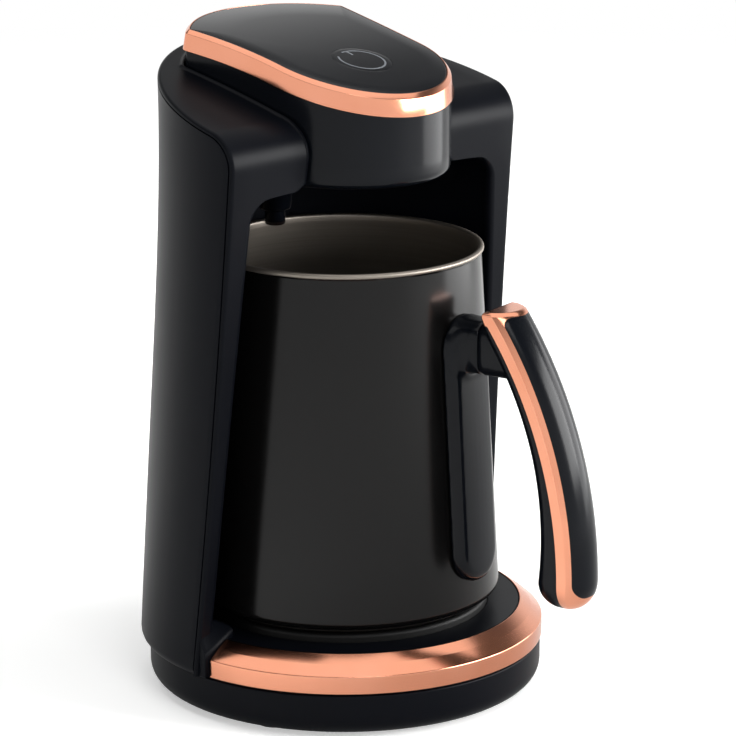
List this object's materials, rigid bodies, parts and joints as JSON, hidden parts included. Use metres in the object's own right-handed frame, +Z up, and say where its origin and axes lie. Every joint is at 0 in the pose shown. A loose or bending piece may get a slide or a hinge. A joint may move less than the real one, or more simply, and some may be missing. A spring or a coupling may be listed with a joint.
{
  "type": "electric turkish coffee maker",
  "caption": "Countertop coffee maker with a round heated base, a hooded back and a lift-out tapered steel pot with a curved grip.",
  "frame": {"origin": "on the pot's axis, at the plane the rubber feet stand on", "axes": "+Z up, -Y towards the front where the pot slides out, +X to the right seen from the front"},
  "size_m": [0.1272, 0.1498, 0.2053],
  "materials": {
    "body_plastic": "satin black moulded plastic",
    "gloss_black": "gloss black moulded plastic",
    "copper_plate": "rose copper plating on plastic, polished",
    "pot_coat": "gloss black coat on stainless steel",
    "bare_steel": "brushed stainless steel",
    "zinc_steel": "zinc-plated steel",
    "plate_alloy": "dark coated aluminium",
    "dark_rubber": "soft dark rubber",
    "white_silicone": "white silicone",
    "board_green": "green lacquered circuit board",
    "part_black": "black component plastic",
    "part_white": "white component plastic",
    "smoke_lens": "smoked clear plastic"
  },
  "bodies": {
    "machine": {"outer_shell": "body_plastic", "front_frame": "body_plastic", "bay_liner": "body_plastic", "head_shell": "gloss_black", "lid_band": "copper_plate", "lid_plate": "gloss_black", "control_board": "board_green", "board_screws": "zinc_steel", "tact_switch": "part_black", "buzzer": "part_black", "sensor_housing": "body_plastic", "sensor_lens": "smoke_lens", "sensor_board": "board_green", "base_shell": "body_plastic", "bottom_cover": "body_plastic", "feet": "dark_rubber", "cover_screws": "zinc_steel", "base_ring": "copper_plate", "deck_plate": "body_plastic", "plate_seal": "white_silicone", "hot_plate": "plate_alloy", "plate_nuts": "zinc_steel", "heat_shield": "bare_steel", "heater_element": "bare_steel", "thermal_cutout": "part_black", "plate_probe": "bare_steel", "power_board": "board_green", "relay": "part_black", "terminal_block": "part_white", "cord_gland": "dark_rubber", "wiring_harness": "dark_rubber", "button_spring": "zinc_steel"},
    "button": {"start_button": "gloss_black", "switch_plunger": "part_white"},
    "pot": {"pot_body": "pot_coat", "pot_base": "bare_steel", "handle_mount": "bare_steel", "handle_bracket": "gloss_black", "grip_core": "gloss_black", "grip_trim": "copper_plate", "grip_insert": "gloss_black", "grip_screws": "zinc_steel"}
  },
  "joints": [
    {"name": "pot_slide", "type": "slide", "parent": "machine", "child": "pot", "axis": [0, -1, 0], "range_m": [0, 0.15]},
    {"name": "start_press", "type": "slide", "parent": "machine", "child": "button", "axis": [0, 0.2233, -0.9748], "range_m": [0, 0.001], "stiffness_N_per_m": 400, "springref_m": -0.001, "deforming": ["button_spring"]}
  ]
}
